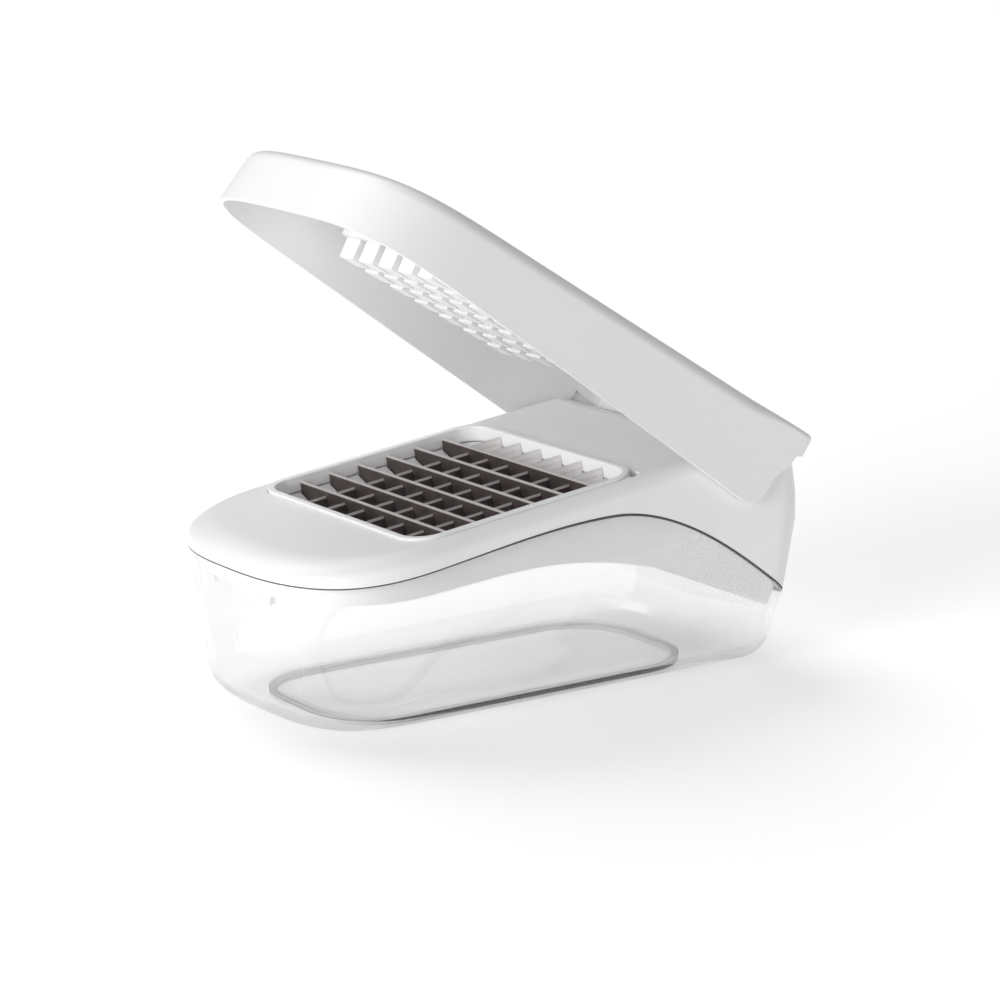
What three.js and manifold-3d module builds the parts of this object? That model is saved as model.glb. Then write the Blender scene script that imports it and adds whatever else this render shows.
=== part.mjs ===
// A lever-lid vegetable chopper: a clear catch bin, a white cutting deck that plugs into it,
// a lift-out blade cartridge, and a hinged lid whose pusher teeth press food through the blades.
// Millimetres, +Z up. +Y runs from the rounded front to the hinge end, and X is the width.
// Pieces are drawn with Y measured from the blades, and the finished group is moved so that its
// origin lies on the table under the middle of the body.
import * as THREE from 'three';
import { mergeVertices } from 'three/addons/utils/BufferGeometryUtils.js';
import Module from 'manifold-3d';

const wasm = await Module();
wasm.setup();

// The blades, measured in the plane of their cutting edges. They set the size of all the rest.
const cellPitch = 12.7;
const bladesEachWay = 6;
const bladeThickness = 0.7;
const bladeHeight = 10;
const bladeBevel = 1.2;
const longBladeDrop = 2.3;
const bladeSlotClearance = 0.3;
const crossBladeTail = 4.75;
const longBladeTail = 1.75;
const fieldHalf = cellPitch * (bladesEachWay + 1) / 2;
const crossBladeHalfLength = fieldHalf + crossBladeTail;
const longBladeHalfLength = fieldHalf + longBladeTail;

// The frame that carries the blades, and its seat in the deck.
const frameEndClearance = 0.3;
const frameRimWidth = 2.8;
const frameRimRise = 1.8;
const frameRimDepth = 4.2;
const frameCorner = 9;
const frameStep = 1.5;
const frameFloor = 2;
const frameFunnelDrop = 2.4;
const frameJointGap = 0.3;
const frameSeatClearance = 0.3;
const frameBaseDepth = bladeHeight + frameFloor;
const rimInnerU = crossBladeHalfLength + frameEndClearance;
const rimInnerV = longBladeHalfLength + frameEndClearance;
const rimOuterU = rimInnerU + frameRimWidth;
const rimOuterV = rimInnerV + frameRimWidth;
const rimOuterCorner = frameCorner + frameRimWidth;
const collarThickness = 2;
const collarDepth = 9;
const liftNotchRadius = 3.6;
const liftNotchDepth = 2.4;

// Where the blades lie: the plane of their edges rises towards the hinge.
const deckTiltDegrees = 7.25;
const bladeCentreY = 4.1;
const bladeCentreZ = 73.8;

// The body, seen from above: the margins of the deck round the frame.
const deckShoulder = 6.1;
const deckNoseLength = 43.75;
const deckTailLength = 73.6;
const noseDepth = 55;
const noseSquareness = 2.8;
const bodyCornerRadius = 24;
const bodyHalfWidth = rimOuterU + deckShoulder;
const bodyFrontY = bladeCentreY - rimOuterV - deckNoseLength;
const bodyRearY = bladeCentreY + rimOuterV + deckTailLength;

// The seam between deck and bin: level at the front, a crest beside the blades, low at the rear.
const seamFrontDrop = 17.9;
const seamCrestDrop = 5.2;
const seamTailZ = 22;
const seamTailFall = 0.75;
const seamGap = 0.5;
const seamRiseY = -83.6;
const seamCrestY = 35.7;
const seamFrontZ = bladeCentreZ - seamFrontDrop;
const seamCrestZ = bladeCentreZ - seamCrestDrop;

// The lower edge of the deck's skirt, which hangs inside the bin.
const skirtFrontDrop = 6.2;
const skirtCrestDrop = 2;
const skirtTailDrop = 6.5;
const skirtTailFall = 0.55;
const skirtRiseY = -60;
const skirtCrestY = 5;
const skirtThickness = 2;
const skirtClearance = 0.4;
const skirtFrontZ = seamFrontZ - skirtFrontDrop;
const skirtCrestZ = seamFrontZ - skirtCrestDrop;
const skirtTailZ = seamTailZ - skirtTailDrop;

// The clear bin.
const binWall = 2.4;
const binFloorThickness = 3;
const binUndersideZ = 0.8;
const binFilletRadius = 14;
const binDraftDegrees = 8;

// The soft ring under the bin.
const gripRingFrontMargin = 27;
const gripRingRearMargin = 31;
const gripRingSideMargin = 22.4;
const gripRingCorner = 26;
const gripRingWidth = 2.6;
const gripRingDepth = 1.4;
const gripRingClearance = 0.3;
const gripRingFrontY = bodyFrontY + gripRingFrontMargin;
const gripRingRearY = bodyRearY - gripRingRearMargin;
const gripRingHalfWidth = bodyHalfWidth - gripRingSideMargin;

// The cutting deck.
const shoulderDrop = 3.8;
const deckTopRise = 0.8;
const deckThickness = 2.6;
const deckWall = 2.2;
const crownSideWidth = 6;
const crownNoseWidth = 13;
const crownNoseLength = 39;
const crownNoseY = bodyFrontY + crownNoseLength;
const rearBulgeDrop = 17.8;
const rearBulgeZ = bladeCentreZ - rearBulgeDrop;
const rearBulgeRadius = 90;
const fallLength = 41;
const ledgeLength = 14;
const ledgeRise = 3.6;
const ledgeFall = 1;
const fallStartY = bodyRearY - fallLength;
const ledgeFrontY = bodyRearY - ledgeLength;
const ledgeZ = bladeCentreZ + ledgeRise;

// The hinge between deck and lid.
const hingeSetback = 30.6;
const hingeRise = 2.2;
const hingeY = bodyRearY - hingeSetback;
const hingeZ = bladeCentreZ + hingeRise;
const lidOpenDegrees = 38.65;
const hingeStudRadius = 3;
const hingeClearance = 0.3;
const hingeBossRadius = 6.5;
const hingeBossLength = 6;
const hingeBossSides = 28;
const cheekRadius = 9.8;

// The lid, shut. Its lower edge and its top each lie in a plane that rises towards the hinge.
const lidWall = 2;
const lidGap = 0.8;
const lidTopThickness = 2.4;
const lidEdgeRadius = 5;
const lidDraftDegrees = 2.5;
const lidCornerRadius = 12;
const lidNoseOverhang = 8;
const lidNoseSquareness = 3.6;
const lidEdgeDrop = 8.5;
const lidEdgeSetback = 49.5;
const lidEdgeSlopeDegrees = 3.17;
const lidTopRise = 9.9;
const lidTopSetback = 41.3;
const lidTopSlopeDegrees = 6.7;
const lidRearInset = 10.6;
const lidRearWallInset = 16.6;
const lidRearWallRise = 15.6;
const lipRootRise = 18.6;
const lipBottomRise = 21.8;
const lidEdgeY = bodyRearY - lidEdgeSetback;
const lidEdgeZ = bladeCentreZ - lidEdgeDrop;
const lidTopY = bodyFrontY + lidTopSetback;
const lidTopZ = bladeCentreZ + lidTopRise;
const lidRearY = bodyRearY - lidRearInset;
const lidRearWallY = bodyRearY - lidRearWallInset;
const lidRearWallBottomZ = bladeCentreZ + lidRearWallRise;
const lipRootZ = bladeCentreZ + lipRootRise;
const lipBottomZ = bladeCentreZ + lipBottomRise;

// The pusher and its cleaning grid, in the plane of the blades with the lid shut.
const toothGap = 1.75;
const toothTaper = 0.8;
const toothReach = 1.5;
const toothWidth = cellPitch - 2 * toothGap;
const toothTipWidth = toothWidth - toothTaper;
const pusherPlateTop = 10.2;
const pusherPlateThickness = 2;
const pusherMargin = 1.6;
const pusherCorner = 5;
const pusherPostRadius = 4;
const pusherPostSpan = 3 * cellPitch;
const gridThickness = 1.6;
const gridClearance = 0.5;
const gridGap = 0.3;
const gridMargin = 3;

// The two small catch ribs under the front of the skirt.
const catchRibX = 19;
const catchRibWidth = 1.4;
const catchRibDrop = 3.5;

const overrun = 2;
const degrees = Math.PI / 180;
const deckTilt = deckTiltDegrees * degrees;
const deckSlope = Math.tan(deckTilt);

const colours = {
  white: { color: 0xf2f1f0, roughness: 0.35, metalness: 0 },
  clear: { color: 0xe9edf0, roughness: 0.06, metalness: 0, transparent: true, opacity: 0.3 },
  steel: { color: 0x8f8a88, roughness: 0.25, metalness: 1 },
  grip: { color: 0x54565a, roughness: 0.8, metalness: 0 },
};
const materials = Object.fromEntries(
  Object.entries(colours).map(([name, look]) => [name, new THREE.MeshStandardMaterial(look)]));

// Solids: a closed geometry becomes a manifold for cutting and joining, and comes back.
function solid(geometry) {
  const bare = geometry.clone();
  bare.deleteAttribute('normal');
  bare.deleteAttribute('uv');
  const merged = mergeVertices(bare, 1e-4);
  const vertProperties = new Float32Array(merged.attributes.position.array);
  const triVerts = new Uint32Array(merged.index.array);
  return new wasm.Manifold(new wasm.Mesh({ numProp: 3, vertProperties, triVerts }));
}

function geometryOf(manifold) {
  const mesh = manifold.getMesh();
  const geometry = new THREE.BufferGeometry();
  geometry.setAttribute('position', new THREE.BufferAttribute(new Float32Array(mesh.vertProperties), 3));
  geometry.setIndex(new THREE.BufferAttribute(new Uint32Array(mesh.triVerts), 1));
  geometry.computeVertexNormals();
  return geometry;
}

// A loft through rings of equal point counts, closed by a fan at each end.
function loft(rings) {
  const count = rings[0].length;
  const positions = [];
  const index = [];
  rings.forEach((ring) => ring.forEach((p) => positions.push(p.x, p.y, p.z)));
  const centreOf = (ring) => ring.reduce((sum, p) => sum.add(p), new THREE.Vector3()).divideScalar(count);
  const first = rings.length * count;
  const last = first + 1;
  [rings[0], rings[rings.length - 1]].forEach((ring) => positions.push(...centreOf(ring).toArray()));
  for (let i = 0; i < count; i += 1) {
    const next = (i + 1) % count;
    index.push(first, next, i);
    for (let r = 0; r < rings.length - 1; r += 1) {
      const low = r * count;
      const high = low + count;
      index.push(low + i, low + next, high + next);
      index.push(low + i, high + next, high + i);
    }
    const top = (rings.length - 1) * count;
    index.push(last, top + i, top + next);
  }
  const geometry = new THREE.BufferGeometry();
  geometry.setAttribute('position', new THREE.BufferAttribute(new Float32Array(positions), 3));
  geometry.setIndex(index);
  return solid(geometry);
}

// A side profile drawn in (y, z), extruded across the width.
const sideways = new THREE.Matrix4().makeBasis(
  new THREE.Vector3(0, 1, 0), new THREE.Vector3(0, 0, 1), new THREE.Vector3(1, 0, 0));

function prismAcross(shape, fromX, toX, curveSegments = 12) {
  const settings = { depth: toX - fromX, bevelEnabled: false, curveSegments };
  const geometry = new THREE.ExtrudeGeometry(shape, settings);
  geometry.applyMatrix4(sideways);
  geometry.translate(fromX, 0, 0);
  return solid(geometry);
}

// A plan shape drawn in (x, y), extruded upwards.
function prismUp(shape, fromZ, toZ, curveSegments = 6) {
  const settings = { depth: toZ - fromZ, bevelEnabled: false, curveSegments };
  const geometry = new THREE.ExtrudeGeometry(shape, settings);
  geometry.translate(0, 0, fromZ);
  return solid(geometry);
}

function box(fromX, toX, fromY, toY, fromZ, toZ) {
  const geometry = new THREE.BoxGeometry(toX - fromX, toY - fromY, toZ - fromZ);
  geometry.translate((fromX + toX) / 2, (fromY + toY) / 2, (fromZ + toZ) / 2);
  return solid(geometry);
}

function rodAcross(radius, fromX, toX, y, z, sides = 24) {
  const geometry = new THREE.CylinderGeometry(radius, radius, toX - fromX, sides);
  geometry.rotateZ(Math.PI / 2);
  geometry.translate((fromX + toX) / 2, y, z);
  return solid(geometry);
}

function roundedRectangle(halfX, halfY, radius) {
  const shape = new THREE.Shape();
  shape.moveTo(-halfX + radius, -halfY);
  shape.lineTo(halfX - radius, -halfY);
  shape.absarc(halfX - radius, -halfY + radius, radius, -Math.PI / 2, 0);
  shape.lineTo(halfX, halfY - radius);
  shape.absarc(halfX - radius, halfY - radius, radius, 0, Math.PI / 2);
  shape.lineTo(-halfX + radius, halfY);
  shape.absarc(-halfX + radius, halfY - radius, radius, Math.PI / 2, Math.PI);
  shape.lineTo(-halfX, -halfY + radius);
  shape.absarc(-halfX + radius, -halfY + radius, radius, Math.PI, 1.5 * Math.PI);
  return shape;
}

const smooth = (t) => THREE.MathUtils.smoothstep(t, 0, 1);

// The wavy line of the seam and of the skirt: level, then up to a crest, then down a long tail.
function waveHeight(y, frontZ, riseY, crestY, crestZ, tailZ, tailFall) {
  if (y < crestY) {
    return THREE.MathUtils.lerp(frontZ, crestZ, smooth((y - riseY) / (crestY - riseY)));
  }
  const span = bodyRearY - crestY;
  const t = Math.min((y - crestY) / span, 1);
  const fromCrest = 2 * t ** 3 - 3 * t ** 2 + 1;
  return crestZ * fromCrest + tailZ * (1 - fromCrest) + tailFall * span * (t ** 2 - t ** 3);
}
const seamZ = (y) => waveHeight(
  y, seamFrontZ, seamRiseY, seamCrestY, seamCrestZ, seamTailZ, seamTailFall);
const skirtZ = (y) => waveHeight(
  y, skirtFrontZ, skirtRiseY, skirtCrestY, skirtCrestZ, skirtTailZ, skirtTailFall);

// Sloping planes, as heights over y.
const bladeZ = (y) => bladeCentreZ + deckSlope * (y - bladeCentreY);
const shoulderZ = (y) => bladeZ(y) - shoulderDrop;
const deckTopZ = (y) => bladeZ(y) + deckTopRise;
const lidEdgeHeight = (y) => lidEdgeZ + Math.tan(lidEdgeSlopeDegrees * degrees) * (y - lidEdgeY);
const lidTopHeight = (y) => lidTopZ + Math.tan(lidTopSlopeDegrees * degrees) * (y - lidTopY);

// A plan outline: a squarish rounded nose, straight sides and a rear with round corners.
// Each point carries its outward normal, so that walls can be set in from it.
function planOutline(halfWidth, frontY, rearY, cornerRadius, squareness) {
  const noseCentreY = frontY + noseDepth;
  const cornerY = rearY - cornerRadius;
  const noseSteps = 14;
  const sideSteps = 11;
  const cornerSteps = 5;
  const half = [];
  for (let i = 0; i < noseSteps; i += 1) {
    const angle = (i / noseSteps) * Math.PI / 2;
    const across = Math.sin(angle) ** (2 / squareness);
    const along = Math.cos(angle) ** (2 / squareness);
    half.push(new THREE.Vector2(halfWidth * across, noseCentreY - noseDepth * along));
  }
  for (let i = 0; i < sideSteps; i += 1) {
    half.push(new THREE.Vector2(halfWidth, THREE.MathUtils.lerp(noseCentreY, cornerY, i / sideSteps)));
  }
  for (let i = 0; i <= cornerSteps; i += 1) {
    const angle = (i / cornerSteps) * Math.PI / 2;
    const x = halfWidth - cornerRadius + cornerRadius * Math.cos(angle);
    half.push(new THREE.Vector2(x, cornerY + cornerRadius * Math.sin(angle)));
  }
  half.push(new THREE.Vector2(0, rearY));
  const mirrored = half.slice(1, -1).reverse().map((p) => new THREE.Vector2(-p.x, p.y));
  const loop = [...half, ...mirrored];
  return loop.map((p, i) => {
    const before = loop[(i + loop.length - 1) % loop.length];
    const after = loop[(i + 1) % loop.length];
    const along = after.clone().sub(before).normalize();
    return { x: p.x, y: p.y, nx: along.y, ny: -along.x };
  });
}
const bodyOutline = planOutline(bodyHalfWidth, bodyFrontY, bodyRearY, bodyCornerRadius, noseSquareness);

// One ring of a loft: the outline set in by inset(y, z), at height z(y), before any rear bulge.
function ring(outline, insetAt, heightAt, rearShift = () => 0) {
  return outline.map((p) => {
    const z = heightAt(p.y);
    const inset = insetAt(p.y, z);
    const y = p.y - p.ny * inset;
    return new THREE.Vector3(p.x - p.nx * inset, y + rearShift(y, z), heightAt(y));
  });
}

// The body's walls lean in below the seam and, with the lid's, above the lid's lower edge. The
// rear leans in above its bulge.
const binDraft = Math.tan(binDraftDegrees * degrees);
const lidDraft = Math.tan(lidDraftDegrees * degrees);
const draftInset = (z) => binDraft * Math.max(seamFrontZ - z, 0);
const coveredInset = (y, z) => lidDraft * Math.max(z - lidEdgeHeight(y), 0);
const bulgeStartY = bodyRearY - bodyCornerRadius;
function rearLean(y, z) {
  const lean = Math.max(z - rearBulgeZ, 0) ** 2 / (2 * rearBulgeRadius);
  return -lean * smooth((y - bulgeStartY) / bodyCornerRadius);
}
const bodyRing = (extra, heightAt) => ring(bodyOutline, (y, z) => draftInset(z) + extra, heightAt, rearLean);

// The clear bin: one loft from the middle of its underside, out, up to the seam, and back inside.
function container() {
  const filletSteps = 4;
  const straightShare = 0.8;
  const side = (offset, underside) => {
    const radius = binFilletRadius - offset;
    const centreZ = underside + radius;
    const centreInset = draftInset(centreZ) + offset + radius;
    const reach = (90 - binDraftDegrees) * degrees;
    const rings = [];
    for (let i = 0; i <= filletSteps; i += 1) {
      const angle = reach * i / filletSteps;
      const inset = centreInset - radius * Math.sin(angle);
      const z = centreZ - radius * Math.cos(angle);
      rings.push(ring(bodyOutline, () => inset, () => z));
    }
    const drafted = (y) => Math.min(seamFrontZ, THREE.MathUtils.lerp(centreZ, seamZ(y), straightShare));
    return [...rings, bodyRing(offset, drafted), bodyRing(offset, seamZ)];
  };
  const outer = side(0, binUndersideZ);
  const inner = side(binWall, binUndersideZ + binFloorThickness);
  const vessel = loft([...outer, ...inner.reverse()]);
  return vessel.subtract(gripRing(gripRingClearance, binUndersideZ + gripRingDepth));
}

// The soft ring lies in a groove of the underside and stands a little below it.
function gripRing(clearance, topZ) {
  const middleY = (gripRingFrontY + gripRingRearY) / 2;
  const halfLength = (gripRingRearY - gripRingFrontY) / 2;
  const rim = (grow) => roundedRectangle(
    gripRingHalfWidth + grow, halfLength + grow, gripRingCorner + grow);
  const bottomZ = clearance > 0 ? -overrun : 0;
  const outer = prismUp(rim(clearance), bottomZ, topZ, 8);
  const inner = prismUp(rim(-gripRingWidth - clearance), bottomZ - overrun, topZ + overrun, 8);
  return outer.subtract(inner).translate(0, middleY, 0);
}

// The deck: a crowned shell whose skirt steps in at the seam and plugs into the bin.
function cuttingDeck() {
  const crownHeight = deckTopRise + shoulderDrop;
  const noseShare = (y) => smooth((crownNoseY - y) / (crownNoseY - bodyFrontY));
  const crownWidth = (y) => THREE.MathUtils.lerp(crownSideWidth, crownNoseWidth, noseShare(y));
  const plugInset = binWall + skirtClearance;
  const crownSteps = 3;
  const skin = (depth) => {
    const thicknessBelow = depth > 0 ? skirtThickness : 0;
    const drop = depth > 0 ? overrun : 0;
    const stepZ = (y) => seamZ(y) + seamGap + (depth > 0 ? deckWall : 0);
    const room = (y) => smooth((shoulderZ(y) - seamZ(y) - 2 * deckWall) / (3 * deckWall));
    const sideInset = (y) => (depth > 0
      ? THREE.MathUtils.lerp(plugInset + thicknessBelow, deckWall, room(y)) : 0);
    const bodySide = (heightAt, insetOf) => ring(
      bodyOutline, (y, z) => draftInset(z) + coveredInset(y, z) + insetOf(y), heightAt, rearLean);
    const rings = [
      bodySide((y) => skirtZ(y) - drop, () => plugInset + thicknessBelow),
      bodySide(stepZ, () => plugInset + thicknessBelow),
      bodySide((y) => stepZ(y) + depth * 0.02, sideInset),
    ];
    const topOf = (y) => deckTopZ(y) - depth;
    const cornerOf = (y) => Math.max(topOf(y) - crownHeight, stepZ(y) + depth * 0.1);
    rings.push(bodySide((y) => THREE.MathUtils.lerp(stepZ(y), cornerOf(y), 0.5), sideInset));
    for (let i = 0; i <= crownSteps; i += 1) {
      const angle = (Math.PI / 2) * i / crownSteps;
      const insetOf = (y) => sideInset(y) + (crownWidth(y) - depth * 0.5) * (1 - Math.cos(angle));
      rings.push(bodySide((y) => THREE.MathUtils.lerp(cornerOf(y), topOf(y), Math.sin(angle)), insetOf));
    }
    return loft(rings);
  };
  // Behind the blades the top falls to a ledge that the open lid's rear wall comes down to.
  const fall = (depth) => {
    const shape = new THREE.Shape();
    const startZ = deckTopZ(fallStartY) + deckTopRise - depth;
    shape.moveTo(fallStartY, startZ);
    shape.quadraticCurveTo((fallStartY + ledgeFrontY) / 2, startZ, ledgeFrontY, ledgeZ - depth);
    shape.lineTo(bodyRearY + overrun, ledgeZ - ledgeFall - depth);
    shape.lineTo(bodyRearY + overrun, lidTopZ + bodyHalfWidth);
    shape.lineTo(fallStartY, lidTopZ + bodyHalfWidth);
    return prismAcross(shape, -bodyHalfWidth - overrun, bodyHalfWidth + overrun, 8);
  };
  const hollow = skin(deckThickness).subtract(fall(deckThickness));
  let deck = skin(0).subtract(fall(0)).subtract(hollow);
  [-1, 1].forEach((side) => {
    const wallX = bodyHalfWidth - deckWall / 2;
    const bossX = bodyHalfWidth - hingeBossLength;
    const span = [side * wallX, side * bossX].sort((a, b) => a - b);
    deck = deck.add(rodAcross(hingeBossRadius, ...span, hingeY, hingeZ, hingeBossSides));
  });
  deck = deck.add(cartridgeCollar());
  deck = deck.subtract(cartridgeHole());
  deck = deck.subtract(rodAcross(
    hingeStudRadius + hingeClearance, -bodyHalfWidth - overrun, bodyHalfWidth + overrun, hingeY, hingeZ));
  return deck.add(catchRibs());
}

// Two small ribs under the front of the skirt, which click over a bead of the bin.
function catchRibs() {
  const topZ = skirtFrontZ + overrun;
  const bottomZ = skirtFrontZ - catchRibDrop;
  const ribs = [-1, 1].map((side) => {
    const x = side * catchRibX;
    const nose = bodyOutline.filter((p) => p.y < bodyFrontY + noseDepth)
      .reduce((a, b) => (Math.abs(a.x - x) < Math.abs(b.x - x) ? a : b));
    const outerY = nose.y + draftInset(bottomZ) + binWall + skirtClearance + skirtClearance;
    return box(x - catchRibWidth / 2, x + catchRibWidth / 2, outerY, outerY + skirtThickness, bottomZ, topZ);
  });
  return ribs[0].add(ribs[1]);
}

// The cartridge's own frame of reference: the plane of the cutting edges, tilted with the deck.
function intoDeckPlane(manifold) {
  return manifold.rotate([deckTiltDegrees, 0, 0]).translate([0, bladeCentreY, bladeCentreZ]);
}

function cartridgeCollar() {
  const grow = frameSeatClearance + collarThickness;
  const shape = roundedRectangle(rimOuterU + grow, rimOuterV + grow, rimOuterCorner + grow);
  return intoDeckPlane(prismUp(shape, -collarDepth, deckTopRise - deckThickness / 2));
}

function cartridgeHole() {
  const seat = roundedRectangle(
    rimOuterU + frameSeatClearance, rimOuterV + frameSeatClearance, rimOuterCorner + frameSeatClearance);
  const throatGrow = frameSeatClearance - frameStep;
  const throat = roundedRectangle(
    rimOuterU + throatGrow, rimOuterV + throatGrow, rimOuterCorner + throatGrow);
  const seatZ = -frameRimDepth - frameJointGap;
  const cornerBack = rimOuterCorner * (1 - Math.SQRT1_2);
  const notch = new THREE.Shape().absarc(
    rimOuterU - cornerBack, rimOuterV - cornerBack, liftNotchRadius, 0, 2 * Math.PI);
  return intoDeckPlane(prismUp(seat, seatZ, bladeHeight)
    .add(prismUp(throat, -collarDepth - overrun, bladeHeight))
    .add(prismUp(notch, deckTopRise - liftNotchDepth, bladeHeight, 16)));
}

// The bezel: the raised white rim round the blades.
function bladeFrameRim() {
  const outer = prismUp(roundedRectangle(rimOuterU, rimOuterV, rimOuterCorner), -frameRimDepth, frameRimRise);
  const inner = prismUp(
    roundedRectangle(rimInnerU, rimInnerV, frameCorner), -frameRimDepth - overrun, frameRimRise + overrun);
  return outer.subtract(inner);
}

// The carrier under the bezel: a ring with a funnel-shaped top and a slot for each blade's end.
function bladeFrameBase() {
  const topW = -frameRimDepth - frameJointGap;
  const innerHalf = fieldHalf - bladeThickness / 2;
  const outerU = rimOuterU - frameStep;
  const outerV = rimOuterV - frameStep;
  const outer = prismUp(
    roundedRectangle(outerU, outerV, rimOuterCorner - frameStep), -frameBaseDepth, topW);
  const field = prismUp(
    roundedRectangle(innerHalf, innerHalf, frameCorner / 4), -frameBaseDepth - overrun, topW + overrun);
  const flat = (halfU, halfV, corner, w) => {
    const points = roundedRectangle(halfU, halfV, corner).getPoints(6);
    return points.slice(0, -1).map((p) => new THREE.Vector3(p.x, p.y, w));
  };
  const funnel = loft([
    flat(innerHalf, innerHalf, frameCorner / 4, topW - frameFunnelDrop),
    flat(rimInnerU, rimInnerV, frameCorner, topW),
    flat(rimInnerU, rimInnerV, frameCorner, topW + overrun),
  ]);
  let base = outer.subtract(field).subtract(funnel);
  const slotHalf = bladeThickness / 2 + bladeSlotClearance;
  const slotBottom = -bladeHeight - bladeSlotClearance;
  bladePlaces().forEach((place) => {
    const crossReach = crossBladeHalfLength + bladeSlotClearance;
    const longReach = longBladeHalfLength + bladeSlotClearance;
    base = base.subtract(box(-crossReach, crossReach, place - slotHalf, place + slotHalf, slotBottom, 0));
    base = base.subtract(box(place - slotHalf, place + slotHalf, -longReach, longReach, slotBottom, 0));
  });
  return base;
}

function bladePlaces() {
  return Array.from({ length: bladesEachWay }, (_, i) => (i - (bladesEachWay - 1) / 2) * cellPitch);
}

// A steel strip ground to a V along its top edge.
function groundStrip(fromX, toX, topZ) {
  const half = bladeThickness / 2;
  const section = new THREE.Shape();
  section.moveTo(-half, -bladeHeight);
  section.lineTo(half, -bladeHeight);
  section.lineTo(half, topZ - bladeBevel);
  section.lineTo(0, topZ);
  section.lineTo(-half, topZ - bladeBevel);
  return prismAcross(section, fromX, toX);
}

// A blade has half-depth slots where the strips of the other direction pass, so that the two sets
// lock together like an egg crate. The long ones cut a little later: their edges lie lower, but
// the last cell at the rear has them as high as the cross blades.
function bladeStrip(halfLength, slotsFromTop) {
  const half = bladeThickness / 2;
  let strip = groundStrip(-halfLength, halfLength, slotsFromTop ? -longBladeDrop : 0);
  if (slotsFromTop) {
    strip = strip.add(groundStrip(fieldHalf - cellPitch, halfLength, 0));
  }
  const slotHalf = half + bladeSlotClearance;
  const middle = -bladeHeight / 2;
  const overlap = bladeSlotClearance / 2;
  bladePlaces().forEach((place) => {
    const [low, high] = slotsFromTop
      ? [middle - overlap, overrun] : [-bladeHeight - overrun, middle + overlap];
    strip = strip.subtract(box(
      place - slotHalf, place + slotHalf, -half - overrun, half + overrun, low, high));
  });
  return strip;
}

// The lid: a tapering cap with rounded top edges, cheeks that reach down to the hinge, and a lip.
function lidShell() {
  const lidHalfWidth = bodyHalfWidth + lidGap + lidWall;
  const lidFrontY = bodyFrontY - lidNoseOverhang;
  const outline = planOutline(lidHalfWidth, lidFrontY, lidRearY, lidCornerRadius, lidNoseSquareness);
  const cap = (wall, topThickness) => {
    const radius = lidEdgeRadius - wall / 2;
    const topOf = (y) => lidTopHeight(y) - topThickness;
    const drop = wall > 0 ? overrun : 0;
    const insetAt = (y, z) => wall + lidDraft * Math.max(z - lidEdgeHeight(y), 0);
    const rings = [ring(outline, insetAt, (y) => lidEdgeHeight(y) - drop)];
    const edgeSteps = 3;
    for (let i = 0; i <= edgeSteps; i += 1) {
      const angle = (Math.PI / 2) * i / edgeSteps;
      const lowered = radius * (1 - Math.sin(angle));
      const turned = radius * (1 - Math.cos(angle));
      rings.push(ring(outline, (y, z) => insetAt(y, z) + turned, (y) => topOf(y) - lowered));
    }
    return loft(rings);
  };
  let lid = cap(0, 0).subtract(cap(lidWall, lidTopThickness).subtract(lidRearBlock()));
  lid = lid.subtract(lidRearTrim());
  const innerX = bodyHalfWidth + lidGap;
  lid = lid.subtract(box(
    -innerX, innerX, hingeY, lidRearY + overrun, ledgeZ - bodyHalfWidth, lidRearWallBottomZ));
  [-1, 1].forEach((side) => {
    const rootX = bodyHalfWidth + lidGap + lidWall / 2;
    const tipX = bodyHalfWidth - hingeBossLength + hingeClearance;
    const span = [side * rootX, side * tipX].sort((a, b) => a - b);
    lid = lid.add(rodAcross(hingeStudRadius, ...span, hingeY, hingeZ));
  });
  // Four short posts under the lid's top, which the pusher plate is fixed against.
  const postBottom = pusherPlateTop + gridGap;
  const postTop = lidTopHeight(bladeCentreY) - lidTopThickness / 2 - bladeCentreZ;
  [-1, 1].forEach((side) => {
    [-1, 1].forEach((end) => {
      const post = new THREE.Shape().absarc(
        side * pusherPostSpan, end * pusherPostSpan, pusherPostRadius, 0, 2 * Math.PI);
      lid = lid.add(intoDeckPlane(prismUp(post, postBottom, postTop, 16)));
    });
  });
  return lid;
}

// What the lid's hollow leaves standing at its rear: the rear wall.
function lidRearBlock() {
  const reach = bodyHalfWidth + lidWall + overrun;
  return box(-reach, reach, lidRearWallY - lidWall, lidRearY + overrun, ledgeZ - reach, lidTopZ + reach);
}

// What is cut from behind and below the lid's rear: under the lip, down the rear wall, and
// round the hinge, where each cheek ends in an arc.
function lidRearTrim() {
  const shape = new THREE.Shape();
  const farY = lidRearY + bodyHalfWidth;
  const startAngle = 20 * degrees;
  const endAngle = -Math.PI / 2 + lidEdgeSlopeDegrees * degrees;
  shape.moveTo(farY, lipBottomZ);
  shape.lineTo(lidRearY, lipBottomZ);
  shape.lineTo(lidRearWallY, lipRootZ);
  shape.lineTo(lidRearWallY - lidWall / 4, lidRearWallBottomZ);
  shape.absarc(hingeY, hingeZ, cheekRadius, startAngle, endAngle, true);
  shape.lineTo(hingeY, lidEdgeZ - bodyHalfWidth);
  shape.lineTo(farY, lidEdgeZ - bodyHalfWidth);
  const reach = bodyHalfWidth + lidGap + lidWall + overrun;
  return prismAcross(shape, -reach, reach, 10);
}

// The pusher: a plate under the lid's top with one tapering tooth for each cell of the blades.
function cellCentres() {
  const cells = bladesEachWay + 1;
  return Array.from({ length: cells }, (_, i) => (i - (cells - 1) / 2) * cellPitch);
}

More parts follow.
